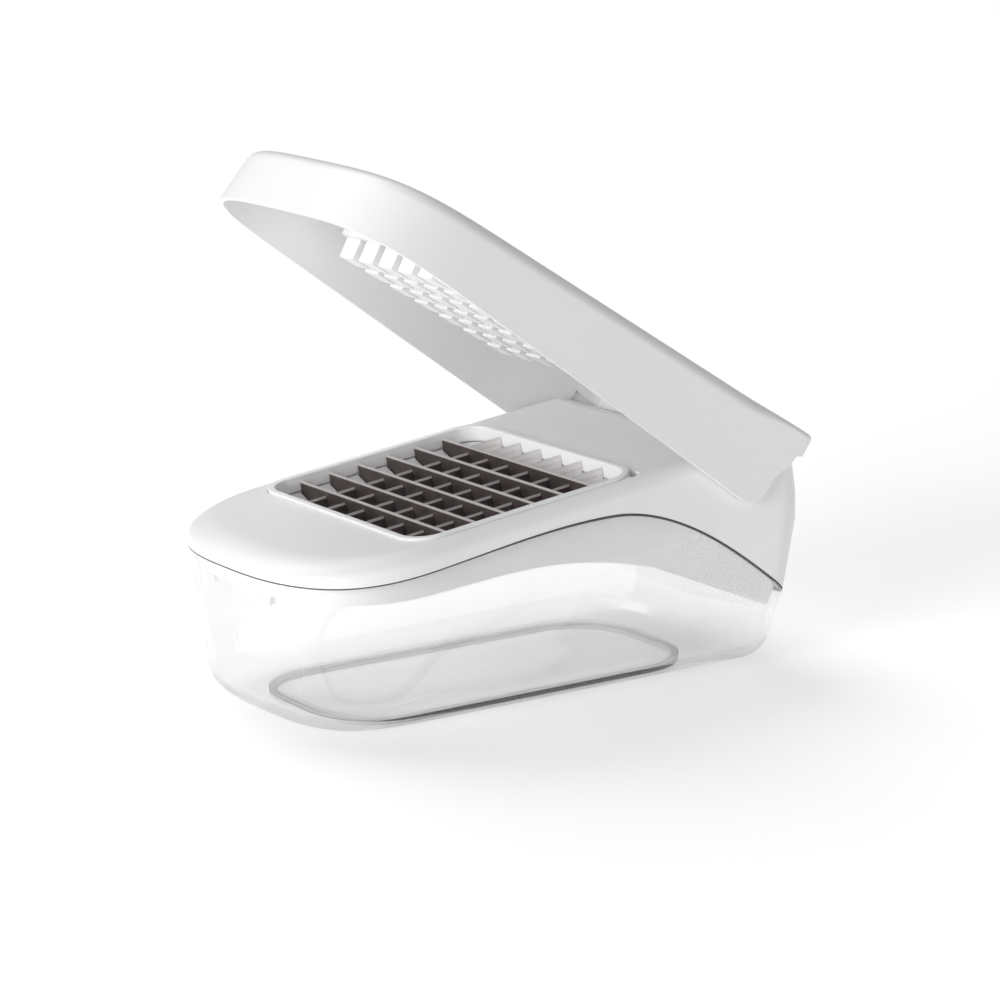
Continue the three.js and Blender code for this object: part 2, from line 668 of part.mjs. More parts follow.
function pusherPlate() {
  const bottomW = pusherPlateTop - pusherPlateThickness;
  const half = cellPitch * bladesEachWay / 2 + toothWidth / 2 + pusherMargin;
  let pusher = prismUp(roundedRectangle(half, half, pusherCorner), bottomW, pusherPlateTop);
  const square = (halfWidth, w) => [[-1, -1], [1, -1], [1, 1], [-1, 1]].map(
    ([sx, sy]) => new THREE.Vector3(sx * halfWidth, sy * halfWidth, w));
  const tooth = loft([
    square(toothTipWidth / 2, -toothReach),
    square(toothWidth / 2, bottomW + pusherPlateThickness / 2),
  ]);
  cellCentres().forEach((u) => {
    cellCentres().forEach((v) => {
      pusher = pusher.add(tooth.translate([u, v, 0]));
    });
  });
  return pusher;
}

// The cleaning grid: a loose grate round the roots of the teeth, which strips food off them.
function cleaningGrid() {
  const topW = pusherPlateTop - pusherPlateThickness - gridGap;
  const half = cellPitch * bladesEachWay / 2 + toothWidth / 2 + gridMargin;
  const bottomW = topW - gridThickness;
  let grid = prismUp(roundedRectangle(half, half, pusherCorner), bottomW, topW);
  const holeHalf = toothWidth / 2 + gridClearance;
  cellCentres().forEach((u) => {
    cellCentres().forEach((v) => {
      grid = grid.subtract(box(
        u - holeHalf, u + holeHalf, v - holeHalf, v + holeHalf, bottomW - overrun, topW + overrun));
    });
  });
  return grid;
}

// The assembly. Bin and deck stand in the part's own frame; the blades lie in the deck's plane;
// the lid and what it carries are built shut and turned open about the hinge.
const chopper = new THREE.Group();
const product = new THREE.Group();
product.position.y = -(bodyFrontY + bodyRearY) / 2;
chopper.add(product);

function piece(parent, name, manifold, material) {
  const mesh = new THREE.Mesh(geometryOf(manifold), materials[material]);
  mesh.name = name;
  parent.add(mesh);
  return mesh;
}

piece(product, 'container', container(), 'clear');
piece(product, 'base_grip_ring', gripRing(0, binUndersideZ + gripRingDepth - gripRingClearance), 'grip');
piece(product, 'cutting_deck', cuttingDeck(), 'white');

const cartridge = new THREE.Group();
cartridge.position.set(0, bladeCentreY, bladeCentreZ);
cartridge.rotation.x = deckTilt;
product.add(cartridge);
piece(cartridge, 'blade_frame_rim', bladeFrameRim(), 'white');
piece(cartridge, 'blade_frame_base', bladeFrameBase(), 'white');
bladePlaces().forEach((place, i) => {
  const cross = piece(cartridge, `cross_blade_${i + 1}`, bladeStrip(crossBladeHalfLength, false), 'steel');
  cross.position.y = place;
  const long = piece(cartridge, `long_blade_${i + 1}`, bladeStrip(longBladeHalfLength, true), 'steel');
  long.rotation.z = Math.PI / 2;
  long.position.x = place;
});

const lidPivot = new THREE.Group();
lidPivot.position.set(0, hingeY, hingeZ);
lidPivot.rotation.x = -lidOpenDegrees * degrees;
product.add(lidPivot);
const lidFrame = new THREE.Group();
lidFrame.position.set(0, -hingeY, -hingeZ);
lidPivot.add(lidFrame);
piece(lidFrame, 'lid_shell', lidShell(), 'white');
const pusher = new THREE.Group();
pusher.position.copy(cartridge.position);
pusher.rotation.copy(cartridge.rotation);
lidFrame.add(pusher);
piece(pusher, 'pusher_plate', pusherPlate(), 'white');
piece(pusher, 'cleaning_grid', cleaningGrid(), 'white');

export default chopper;
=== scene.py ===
# %% [markdown]
# # A lever-lid vegetable chopper
# A clear bin catches the food, a white deck plugs into it, a lattice of steel strips lies in the deck,
# and a hinged lid presses food through the strips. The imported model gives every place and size. This
# lesson dresses it: smooth shells grown from a few formulas, softened edges, and plastics and steel.

# %% Load the fixed model
import math

import bmesh
import bpy
from mathutils import Matrix, Vector


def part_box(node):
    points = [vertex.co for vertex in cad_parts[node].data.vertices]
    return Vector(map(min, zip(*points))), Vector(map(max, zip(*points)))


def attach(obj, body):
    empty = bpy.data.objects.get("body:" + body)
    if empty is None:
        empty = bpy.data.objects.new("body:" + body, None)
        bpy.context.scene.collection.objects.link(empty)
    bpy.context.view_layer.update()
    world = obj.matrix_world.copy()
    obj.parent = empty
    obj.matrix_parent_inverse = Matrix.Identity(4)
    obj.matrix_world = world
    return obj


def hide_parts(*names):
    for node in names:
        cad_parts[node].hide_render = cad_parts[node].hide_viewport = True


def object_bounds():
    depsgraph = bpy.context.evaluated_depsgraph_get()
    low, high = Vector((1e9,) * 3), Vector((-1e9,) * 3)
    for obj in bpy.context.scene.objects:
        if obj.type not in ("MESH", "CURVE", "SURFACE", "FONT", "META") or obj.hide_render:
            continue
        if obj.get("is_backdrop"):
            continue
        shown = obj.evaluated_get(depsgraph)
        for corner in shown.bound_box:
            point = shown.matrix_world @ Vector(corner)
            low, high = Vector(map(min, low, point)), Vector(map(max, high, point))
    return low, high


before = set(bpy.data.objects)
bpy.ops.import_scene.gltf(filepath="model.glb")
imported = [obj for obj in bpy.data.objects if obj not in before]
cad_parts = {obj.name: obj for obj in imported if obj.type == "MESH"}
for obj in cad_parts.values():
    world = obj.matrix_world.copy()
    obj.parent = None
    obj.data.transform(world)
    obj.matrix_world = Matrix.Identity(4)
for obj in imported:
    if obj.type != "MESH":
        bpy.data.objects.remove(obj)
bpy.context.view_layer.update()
mm = 0.001

# %% [markdown]
# ## The camera
# The photograph is a catalogue shot with a long lens, so edges that run back hardly draw together. A
# camera could be aimed by eye. This one comes from a fit of the blades, the bin's foot and the body's
# symmetry to the photograph, which gave two angles, a distance and two shifts. Three directions,
# right, up and back, carry them into one matrix.

# %% Camera at the photograph's angle
view_azimuth = math.radians(54.8)
view_elevation = math.radians(13.39)
view_distance = 1314.64 * mm
view_right_shift = -22.4 * mm
view_up_shift = -66.31 * mm
sensor_width = 36
lens_over_frame = 3.6
# The fit was made before the body was centred, so places along the body shift by this much.
photo_to_model_y = -19.025 * mm

back = Vector((
    math.sin(view_azimuth) * math.cos(view_elevation),
    -math.cos(view_azimuth) * math.cos(view_elevation),
    math.sin(view_elevation)))
right = Vector((math.cos(view_azimuth), math.sin(view_azimuth), 0))
up = back.cross(right)
place = back * view_distance - right * view_right_shift - up * view_up_shift
place.y += photo_to_model_y

camera_data = bpy.data.cameras.new("camera")
camera_data.sensor_width = sensor_width
camera_data.lens = lens_over_frame * sensor_width
camera_data.clip_start = 0.05
camera_data.clip_end = 50
camera = bpy.data.objects.new("camera", camera_data)
bpy.context.scene.collection.objects.link(camera)
camera.matrix_world = Matrix((
    (right.x, up.x, back.x, place.x),
    (right.y, up.y, back.y, place.y),
    (right.z, up.z, back.z, place.z),
    (0, 0, 0, 1)))
bpy.context.scene.camera = camera
print("camera", [round(v, 3) for v in place])

# %% [markdown]
# ## Shader sums as Python sums
# Every finish here is a sum of noises, distances and masks. Its nodes could be placed and linked one
# by one, which is long and hard to read. A small class wraps a node's socket instead, so that a mask
# is written as an expression and each sign in it adds one Math node.

# %% Sockets with operators
class Value:
    """A socket of a material's node tree that adds nodes when it is calculated with."""

    def __init__(self, tree, socket):
        self.tree = tree
        self.socket = socket

    def node(self, kind, output, settings=None, **inputs):
        """Adds a node, sets its settings and its sockets, and returns one of its outputs."""
        made = self.tree.nodes.new(kind)
        for name, value in (settings or {}).items():
            setattr(made, name, value)
        for name, value in inputs.items():
            socket = made.inputs[int(name[1:]) if name[0] == "_" else name.replace("_", " ")]
            if isinstance(value, Value):
                self.tree.links.new(value.socket, socket)
            else:
                socket.default_value = value
        return Value(self.tree, made.outputs[output])

    def math(self, operation, other, swap=False):
        first, second = (other, self) if swap else (self, other)
        return self.node("ShaderNodeMath", 0, {"operation": operation}, _0=first, _1=second)

    def vector_math(self, operation, *others, output="Vector"):
        """Lengths and dot products come out of the node's Value socket."""
        inputs = {f"_{i + 1}": other for i, other in enumerate(others)}
        return self.node("ShaderNodeVectorMath", output, {"operation": operation}, _0=self, **inputs)

    def __add__(self, other):
        return self.math("ADD", other)

    def __radd__(self, other):
        return self.math("ADD", other, swap=True)

    def __sub__(self, other):
        return self.math("SUBTRACT", other)

    def __rsub__(self, other):
        return self.math("SUBTRACT", other, swap=True)

    def __mul__(self, other):
        return self.math("MULTIPLY", other)

    def __rmul__(self, other):
        return self.math("MULTIPLY", other, swap=True)

    def above(self, edge):
        return self.math("GREATER_THAN", edge)


print("Value adds a Math node for each +, - and *, and for above")

# %% [markdown]
# ## What every finish shares
# A finish is one Principled shader. What is the same all over is set on the shader's own sockets, and
# what varies is fed to them from noise. An image could give the grain too, but noise needs no file
# and has no seam. Places come from the object's own coordinates, so that grain and gloss stay where
# they are on a piece when it moves.

# %% Material helpers
materials = {}


def new_material(name, **settings):
    """A material with a Principled shader whose plain settings are given by socket name."""
    material = bpy.data.materials.new(name)
    material.use_nodes = True
    tree = material.node_tree
    shader = tree.nodes["Principled BSDF"]
    for socket, value in settings.items():
        shader.inputs[socket.replace("_", " ")].default_value = value
    where = Value(tree, tree.nodes.new("ShaderNodeTexCoord").outputs["Object"])
    return material, shader, where


def feed(shader, **values):
    """Links values to the shader's sockets, given by socket name."""
    for socket, value in values.items():
        value.tree.links.new(value.socket, shader.inputs[socket.replace("_", " ")])


def noise(where, scale, detail):
    return where.node("ShaderNodeTexNoise", "Fac", Vector=where, Scale=scale, Detail=detail)


def mix_colour(mask, low, high):
    return mask.node("ShaderNodeMix", 2, {"data_type": "RGBA"}, _0=mask, _6=low, _7=high)


def bump(height, strength, distance):
    return height.node("ShaderNodeBump", "Normal", Height=height, Strength=strength, Distance=distance)


def keep_finish(slot, material):
    materials[slot] = material
    print(slot, "nodes", len(material.node_tree.nodes))


print("helpers", [f.__name__ for f in (new_material, feed, noise, mix_colour, bump, keep_finish)])

# %% [markdown]
# ## White moulded plastic
# The deck, lid, frame and pusher are one white plastic with a satin mould finish. One roughness all
# over would look like paint. A very fine grain breaks up the highlights as the mould's surface does,
# and colour and gloss wander slightly over a hand's width.

# %% White satin plastic
def white_plastic():
    material, shader, where = new_material(
        "white_plastic", Base_Color=(0.9, 0.9, 0.9, 1), IOR=1.5, Coat_Weight=0.08, Coat_Roughness=0.25)
    grain = noise(where, 2600.0, 1.0)
    wander = noise(where, 14.0, 3.0)
    feed(
        shader, Roughness=0.34 + wander * 0.1, Normal=bump(grain, 0.12, 0.04 * mm),
        Base_Color=mix_colour(wander, (0.885, 0.882, 0.878, 1), (0.912, 0.91, 0.908, 1)))
    return material


keep_finish("white_plastic", white_plastic())

# %% [markdown]
# ## Clear plastic
# The bin is clear and polished, so thin that things behind it are hardly shifted. A fully refracting
# shader turns such a bin into heavy glass with a dark shadow. Here alpha lets most light straight
# through where the wall is seen flat on, and less where it is seen edge on, at rim and fillets.

# %% Clear plastic
def clear_plastic():
    material, shader, where = new_material(
        "clear_plastic", Base_Color=(0.93, 0.934, 0.945, 1), IOR=1.47, Transmission_Weight=1.0,
        Roughness=0.02)
    wander = noise(where, 20.0, 2.0)
    facing = where.node("ShaderNodeLayerWeight", "Facing", Blend=0.3)
    feed(
        shader, Roughness=0.015 + wander * 0.02, Normal=bump(wander, 0.05, 0.4 * mm),
        Alpha=0.12 + facing * facing * 0.5)
    return material


keep_finish("clear_plastic", clear_plastic())

# %% [markdown]
# ## The blade lattice
# Six strips lie across and six along, with square cells between them, in a plane that slopes up to
# the rear. The strips' finish changes with place in this lattice. That place could be read from each
# strip's mesh, but the lattice is regular, so its centre, two directions and a pitch say it all.

# %% The blade lattice
deck_tilt = math.radians(7.25)
grid_centre = Vector((0, 4.1 * mm + photo_to_model_y, 73.8 * mm))
grid_up = Vector((0, -math.sin(deck_tilt), math.cos(deck_tilt)))
grid_along = Vector((0, math.cos(deck_tilt), math.sin(deck_tilt)))
cell_pitch = 12.7 * mm
# Width of the painted highlight band along each cutting edge.
edge_highlight_width = 0.9 * mm
long_strip_drop = 2.3 * mm
strip_half_thickness = 0.3 * mm
last_cross_strip = 2.5 * cell_pitch
print("lattice centre", [round(v, 4) for v in grid_centre], "pitch", cell_pitch)

# %% [markdown]
# ## Blade steel
# The strips are thin stainless steel. Their colour is painted reflection: down in the cells they mirror
# each other, so their faces are painted a dark warm grey, and the ends behind the last cross strip are
# painted light as a reflection of the white frame. A light line along each cutting edge is a painted
# highlight on the ground edge. Those lines could be strips of mesh, thinner than a hair. Masks do it
# with plain distances in the lattice: each is 1 in its band and 0 elsewhere, and a product of two is 1
# only where both bands meet.

# %% Blade steel
def along_direction(where, direction):
    """Distance from the lattice's centre in one direction."""
    reach = where.vector_math("DOT_PRODUCT", tuple(direction), output="Value")
    return reach - grid_centre.dot(direction)


def to_nearest_strip(place):
    return (place + cell_pitch / 2).math("PINGPONG", cell_pitch / 2)


def blade_steel():
    material, shader, where = new_material("blade_steel", Metallic=0.55)
    height = along_direction(where, grid_up)
    along = along_direction(where, grid_along)
    across = along_direction(where, Vector((1, 0, 0)))
    on_long_strip = 1 - to_nearest_strip(across).above(strip_half_thickness + 0.1 * mm)
    off_cross_strip = to_nearest_strip(along).above(strip_half_thickness + 0.15 * mm)
    # Bands of painted highlight along the cutting edges of the cross and the long strips.
    cross_edge_highlight = height.above(-edge_highlight_width)
    long_edge_bottom = height.above(-long_strip_drop - edge_highlight_width)
    long_edge_top = height.above(-long_strip_drop + 0.05 * mm)
    long_edge_highlight = (long_edge_bottom - long_edge_top) * on_long_strip * off_cross_strip
    edge = cross_edge_highlight.math("MAXIMUM", long_edge_highlight)
    # The ends behind the last cross strip, painted light as a reflection of the white frame.
    painted_reflection_rear = along.above(last_cross_strip + 2 * strip_half_thickness)
    drawn = where.node("ShaderNodeMapping", 0, Vector=where, Scale=(420.0, 420.0, 2600.0))
    streaks = noise(drawn, 1.0, 3.0)
    face_mottle = noise(where, 170.0, 2.0)
    # Painted reflection: the faces are coloured a dark warm grey, as steel that mirrors the dark cells
    # looks, mottled by noise.
    face = mix_colour(face_mottle, (0.065, 0.05, 0.05, 1), (0.15, 0.122, 0.12, 1))
    face = mix_colour(painted_reflection_rear, face, (0.86, 0.85, 0.845, 1))
    # The edge bands are painted light as a highlight, half as strong on the rear ends.
    feed(
        shader, Base_Color=mix_colour(edge * (1 - painted_reflection_rear * 0.5), face, (0.7, 0.66, 0.65, 1)),
        Roughness=0.34 + streaks * 0.2 - edge * 0.08, Normal=bump(streaks, 0.12, 0.05 * mm))
    return material


keep_finish("blade_steel", blade_steel())

# %% [markdown]
# ## Dark rubber and the seam's painted shadow
# The thin line at the seam is painted shadow, drawn with this dark material. It is matt, with a grain
# that only its rough highlight shows, so one noise is enough for gloss and surface.

# %% Dark rubber and painted shadow
def grip_rubber():
    # Very dark, as the seam's painted shadow needs.
    material, shader, where = new_material("grip_rubber", Base_Color=(0.09, 0.09, 0.095, 1))
    grain = noise(where, 900.0, 2.0)
    feed(shader, Roughness=0.55 + grain * 0.2, Normal=bump(grain, 0.2, 0.08 * mm))
    return material


keep_finish("grip_rubber", grip_rubber())

# %% [markdown]
# ## Shells
# The moulded pieces are smooth closed shells. Subdivision would round them, but it moves the edges off
# their measured places. Here a grid of faces is bent round into a tube through measured rings, and
# its ends are filled.

# %% Skins through rings
weld_distance = 1e-4 * mm
flat_edge_margin = 0.02 * mm


def as_object(name, bm):
    bmesh.ops.recalc_face_normals(bm, faces=bm.faces)
    mesh = bpy.data.meshes.new(name)
    bm.to_mesh(mesh)
    bm.free()
    made = bpy.data.objects.new(name, mesh)
    bpy.context.scene.collection.objects.link(made)
    return made


def tube(rings):
    """A skin through rings of equal point counts, as a grid of faces that is bent round and welded."""
    count = len(rings[0])
    rows = len(rings) - 1
    bm = bmesh.new()
    bmesh.ops.create_grid(bm, x_segments=count, y_segments=rows, size=0.5)
    for v in bm.verts:
        column = round((v.co.x + 0.5) * count) % count
        v.co = rings[round((v.co.y + 0.5) * rows)][column]
    bmesh.ops.remove_doubles(bm, verts=bm.verts, dist=weld_distance)
    return bm


def close_ends(bm):
    """Fills both open ends with strips from side to side, which stay flat where the edge is wavy."""
    ends = bmesh.ops.holes_fill(bm, edges=[e for e in bm.edges if e.is_boundary], sides=0)["faces"]
    for end in ends:
        loop = list(end.verts)
        rear = max(v.co.y for v in loop)
        tip = min(range(len(loop)), key=lambda i: (round(abs(loop[i].co.x), 6), loop[i].co.y))
        for step in range(1, len(loop) // 2):
            pair = [loop[tip - step], loop[(tip + step) % len(loop)]]
            if pair[0].co.y < rear - flat_edge_margin:
                bmesh.ops.connect_verts(bm, verts=pair)


def loft(name, rings):
    """A closed solid through rings."""
    bm = tube(rings)
    close_ends(bm)
    return as_object(name, bm)


print("makers", [f.__name__ for f in (as_object, tube, close_ends, loft)])

# %% [markdown]
# ## Prisms
# Rings, seats, ribs and the tools that cut openings have straight walls. A cube or a cylinder could be
# scaled to size, but an outline that is extruded by a vector also works on the blades' slope, and
# takes round corners as easily as square ones.

# %% Prisms
def prism(name, outline, depth):
    """A flat outline of points, extruded by a vector."""
    bm = bmesh.new()
    face = bm.faces.new([bm.verts.new(p) for p in outline])
    grown = bmesh.ops.extrude_face_region(bm, geom=[face])
    moved = [g for g in grown["geom"] if isinstance(g, bmesh.types.BMVert)]
    bmesh.ops.translate(bm, verts=moved, vec=depth)
    return as_object(name, bm)


def block(name, low, high):
    points = [Vector((x, y, low[2])) for x, y in (
        (low[0], low[1]), (high[0], low[1]), (high[0], high[1]), (low[0], high[1]))]
    return prism(name, points, Vector((0, 0, high[2] - low[2])))


print("makers", prism.__name__, block.__name__)

# %% [markdown]
# ## Openings
# Holes, grooves and joined studs are booleans. A stack of them could wait on the piece as modifiers,
# but each is applied at once here, so that the next cut starts from a plain mesh and its result can
# be counted. The carved piece keeps its name.

# %% Cutting and joining
def carve(target, tool, operation="DIFFERENCE"):
    """Cuts or joins with another object, keeps the result in target and removes the tool."""
    modifier = target.modifiers.new("carve", "BOOLEAN")
    modifier.operation = operation
    modifier.solver = "MANIFOLD"
    modifier.object = tool
    bpy.context.view_layer.update()
    cut = bpy.data.meshes.new_from_object(target.evaluated_get(bpy.context.evaluated_depsgraph_get()))
    target.modifiers.clear()
    target.data = cut
    bpy.data.objects.remove(tool)
    return target


print("solver for", carve.__name__, "is MANIFOLD")

# %% [markdown]
# ## Soft edges
# Moulded plastic has no sharp edge, and a bare mesh edge gives that away at once. The radius could be
# modelled into each piece, but then every cut would have to be rounded too. A small bevel over the
# sharp edges does all of them, and weighted normals keep the flat faces flat beside it.

# %% Finishing a piece
def finish_piece(piece, body, slot, replaced=(), bevel=0.3 * mm, segments=2, angle=38):
    """Cleans a mesh, softens its edges, gives it its finish and seats it on its body."""
    bm = bmesh.new()
    bm.from_mesh(piece.data)
    bmesh.ops.remove_doubles(bm, verts=bm.verts, dist=0.01 * mm)
    bmesh.ops.dissolve_degenerate(bm, edges=bm.edges, dist=0.005 * mm)
    for face in bm.faces:
        face.smooth = True
    bm.to_mesh(piece.data)
    bm.free()
    if bevel:
        soft = piece.modifiers.new("soft_edges", "BEVEL")
        soft.width = bevel
        soft.segments = segments
        soft.limit_method = "ANGLE"
        soft.angle_limit = math.radians(angle)
        soft.harden_normals = True
    weighted = piece.modifiers.new("weighted_normals", "WEIGHTED_NORMAL")
    weighted.keep_sharp = True
    piece.data.materials.clear()
    piece.data.materials.append(materials[slot])
    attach(piece, body)
    if replaced:
        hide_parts(*replaced)
    print(piece.name, "faces", len(piece.data.polygons))


print("finisher", finish_piece.__name__)

# %% [markdown]
# ## The outline seen from above
# Bin, deck and lid share one outline: a squarish rounded nose, straight sides and round rear
# corners. A drawn curve would do, but a formula lets every piece take the same points. Each point
# keeps its outward direction, so that walls can be set in from it.

# %% Outline
body_half_width = 58.4 * mm
body_front = -107.975 * mm
body_rear = 107.975 * mm
nose_depth = 55 * mm
nose_squareness = 2.8
body_corner = 15 * mm
bin_foot_corner = 21 * mm


def outline(half_width, front, rear, corner, squareness):
    nose_centre = front + nose_depth
    corner_start = rear - corner
    half = []
    nose_steps, side_steps, corner_steps, rear_steps = 44, 60, 14, 10
    for i in range(nose_steps):
        angle = i / nose_steps * math.pi / 2
        across = math.sin(angle) ** (2 / squareness)
        along = math.cos(angle) ** (2 / squareness)
        half.append((half_width * across, nose_centre - nose_depth * along))
    for i in range(side_steps):
        half.append((half_width, nose_centre + (corner_start - nose_centre) * i / side_steps))
    for i in range(corner_steps):
        angle = i / corner_steps * math.pi / 2
        x = half_width - corner + corner * math.cos(angle)
        half.append((x, corner_start + corner * math.sin(angle)))
    for i in range(rear_steps + 1):
        half.append(((half_width - corner) * (1 - i / rear_steps), rear))
    loop = half + [(-x, y) for x, y in half[-2:0:-1]]
    points = []
    for i, (x, y) in enumerate(loop):
        before = Vector(loop[i - 1])
        after = Vector(loop[(i + 1) % len(loop)])
        along = (after - before).normalized()
        points.append((x, y, along.y, -along.x))
    return points


body_outline = outline(body_half_width, body_front, body_rear, body_corner, nose_squareness)
foot_outline = outline(body_half_width, body_front, body_rear, bin_foot_corner, nose_squareness)
print("outline points", len(body_outline))

# %% [markdown]
# ## Wavy lines seen from the side
# The seam between bin and deck is level round the nose, climbs to a crest beside the blades and falls
# in a long tail to the rear. The skirt's lower edge runs under it in a flatter wave. Each line is a
# height for any place along the body. A traced curve would fit one piece only, and with a formula
# the rim, the deck, the skirt and the strip in the gap stay parallel all the way round.

# %% Heights along the body
seam_front_z = 55.9 * mm
seam = {"front_z": seam_front_z, "rise_y": -102.625 * mm, "crest_y": 16.675 * mm,
        "crest_z": 68.6 * mm, "tail_z": 22 * mm, "tail_fall": 0.75}
skirt = {"front_z": 49.7 * mm, "rise_y": -79.025 * mm, "crest_y": -14.025 * mm,
         "crest_z": 53.9 * mm, "tail_z": 15.5 * mm, "tail_fall": 0.55}


def smooth(t):
    t = min(max(t, 0), 1)
    return t * t * (3 - 2 * t)


def mix(a, b, t):
    return a + (b - a) * t


def wave(y, front_z, rise_y, crest_y, crest_z, tail_z, tail_fall):
    """Level at the front, up to a crest beside the blades, and down a long tail to the rear."""
    if y < crest_y:
        return mix(front_z, crest_z, smooth((y - rise_y) / (crest_y - rise_y)))
    span = body_rear - crest_y
    t = min((y - crest_y) / span, 1)
    from_crest = 2 * t ** 3 - 3 * t ** 2 + 1
    return crest_z * from_crest + tail_z * (1 - from_crest) + tail_fall * span * (t ** 2 - t ** 3)


def seam_z(y):
    return wave(y, **seam)


def skirt_z(y):
    return wave(y, **skirt)


print("seam heights", [round(seam_z(y), 4) for y in (body_front, seam["crest_y"], body_rear)])

# %% [markdown]
# ## Lines beside the seam
# The clear rim follows the seam a little lower, the blades' plane and the lid's two edges are straight
# slopes. They could be stored as heights at both ends, but a height at one place and an angle are what
# the photograph gives.

# %% Rim, blades and lid
rim_drop_front, rim_drop_rear = 0.05 * mm, 0.5 * mm
rim_drop_start, rim_drop_span = -60 * mm, 100 * mm
lid_edge_slope = math.radians(3.17)
lid_edge_y, lid_edge_height = 58.475 * mm, 65.3 * mm
lid_top_slope = math.radians(6.7)
lid_top_y, lid_top_height = -66.675 * mm, 83.7 * mm


def rim_z(y):
    """The clear rim drops a little below the seam towards the rear, where the strip of painted shadow
    is widest.
    """
    return seam_z(y) - mix(rim_drop_front, rim_drop_rear, smooth((y - rim_drop_start) / rim_drop_span))


def blade_z(y):
    return grid_centre.z + math.tan(deck_tilt) * (y - grid_centre.y)


def lid_edge_z(y):
    return lid_edge_height + math.tan(lid_edge_slope) * (y - lid_edge_y)


def lid_top_z(y):
    return lid_top_height + math.tan(lid_top_slope) * (y - lid_top_y)


print("lid top heights", [round(lid_top_z(y), 4) for y in (body_front, body_rear)])

# %% [markdown]
# ## Walls that lean
# A mould opens only if its walls lean a little. The bin's walls lean in below the seam, the deck's and
# the lid's lean in above the lid's lower edge, and the rear wall bulges. Every wall is the outline,
# set in by an amount that depends on height, so one function makes the rings of all shells.

# %% Rings
bin_draft_degrees = 8
bin_draft = math.tan(math.radians(bin_draft_degrees))
lid_draft = math.tan(math.radians(2.5))
bulge_z = 56 * mm
bulge_radius = 90 * mm


def draft_inset(z):
    return bin_draft * max(seam_front_z - z, 0)


def covered_inset(y, z):
    return lid_draft * max(z - lid_edge_z(y), 0)


def rear_lean(y, z):
    lean = max(z - bulge_z, 0) ** 2 / (2 * bulge_radius)
    return -lean * smooth((y - (body_rear - body_corner)) / body_corner)


def ring(points, inset_at, height_at, lean=None):
    """The outline set in by an amount that depends on height, at a height that depends on place."""
    made = []
    for x, y, nx, ny in points:
        z = height_at(y)
        inset = inset_at(y, z)
        moved_y = y - ny * inset
        z = height_at(moved_y)
        made.append(Vector((x - nx * inset, moved_y + (lean(moved_y, z) if lean else 0), z)))
    return made


print("inset at the floor", round(draft_inset(0), 4))

# %% [markdown]
# ## The clear bin
# One skin runs from the middle of the underside, round the bottom fillet, up the drafted wall to
# the wavy rim, over the rim and back down inside. A solid with a second solid cut out of it would
# do, but one skin keeps the wall even. The foot's corners are wider than the rim's, because the
# bottom fillet would cross itself in a tight corner.

# %% The bin's skin
bin_wall = 2.4 * mm
bin_floor = 3 * mm
bin_underside = 0.8 * mm
bin_fillet = 14 * mm


def between_outlines(share):
    """The foot's wide corners at 0, the rim's tighter corners at 1."""
    pairs = zip(foot_outline, body_outline)
    return [tuple(mix(a, b, share) for a, b in zip(low, high)) for low, high in pairs]


def bin_side(offset, underside):
    radius = bin_fillet - offset
    centre_z = underside + radius
    centre_inset = draft_inset(centre_z) + offset + radius
    reach = math.radians(90 - bin_draft_degrees)
    rings = []
    fillet_steps = 12
    for i in range(fillet_steps + 1):
        angle = reach * i / fillet_steps
        inset = centre_inset - radius * math.sin(angle)
        z = centre_z - radius * math.cos(angle)
        rings.append(ring(foot_outline, lambda y, _, inset=inset: inset, lambda y, z=z: z))
    wall_steps = 10
    for i in range(1, wall_steps + 1):
        share = i / wall_steps
        rings.append(ring(
            between_outlines(share), lambda y, z: draft_inset(z) + offset,
            lambda y, share=share: mix(centre_z, rim_z(y), share), rear_lean))
    return rings


outer = bin_side(0, bin_underside)
inner = bin_side(bin_wall, bin_underside + bin_floor)
bin_shell = loft("bin_shell", outer + inner[::-1])
print("bin rings", len(outer) + len(inner))

# %% [markdown]
# ## The foot ring
# A soft ring lies in a groove under the bin and keeps it from sliding. A curve with a round profile
# could make it. A rectangle with round corners, extruded and cut hollow, gives the flat sides that
# lie in the groove, and the same solid with a clearance all round cuts the groove itself.

# %% The ring and its groove
ring_low, ring_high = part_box("base_grip_ring")
ring_half_x = ring_high.x
ring_half_y = (ring_high.y - ring_low.y) / 2
ring_middle = (ring_high.y + ring_low.y) / 2
ring_corner = 26 * mm
ring_width = 2.6 * mm
clearance = 0.3 * mm


def rounded_rectangle(half_x, half_y, radius, steps=12):
    """Points of a rectangle with round corners, in its own plane."""
    points = []
    for quarter, (sx, sy) in enumerate(((1, 1), (-1, 1), (-1, -1), (1, -1))):
        for i in range(steps + 1):
            angle = (quarter + i / steps) * math.pi / 2
            points.append((
                sx * (half_x - radius) + radius * math.cos(angle),
                sy * (half_y - radius) + radius * math.sin(angle)))
    return points


def ring_prism(name, grow, low, high):
    points = rounded_rectangle(ring_half_x + grow, ring_half_y + grow, ring_corner + grow)
    bottom = [Vector((x, ring_middle + y, low)) for x, y in points]
    return prism(name, bottom, Vector((0, 0, high - low)))


def foot_ring_solid(name, grow, low, high):
    made = ring_prism(name, grow, low, high)
    return carve(made, ring_prism("inside", -ring_width - grow, low - mm, high + mm))


carve(bin_shell, foot_ring_solid("groove", clearance, -mm, ring_high.z + clearance))
finish_piece(bin_shell, "base", "clear_plastic", ["container"], bevel=0.5 * mm, segments=3)
foot_ring = foot_ring_solid("foot_ring", 0, 0, ring_high.z)
finish_piece(foot_ring, "base", "grip_rubber", ["base_grip_ring"])
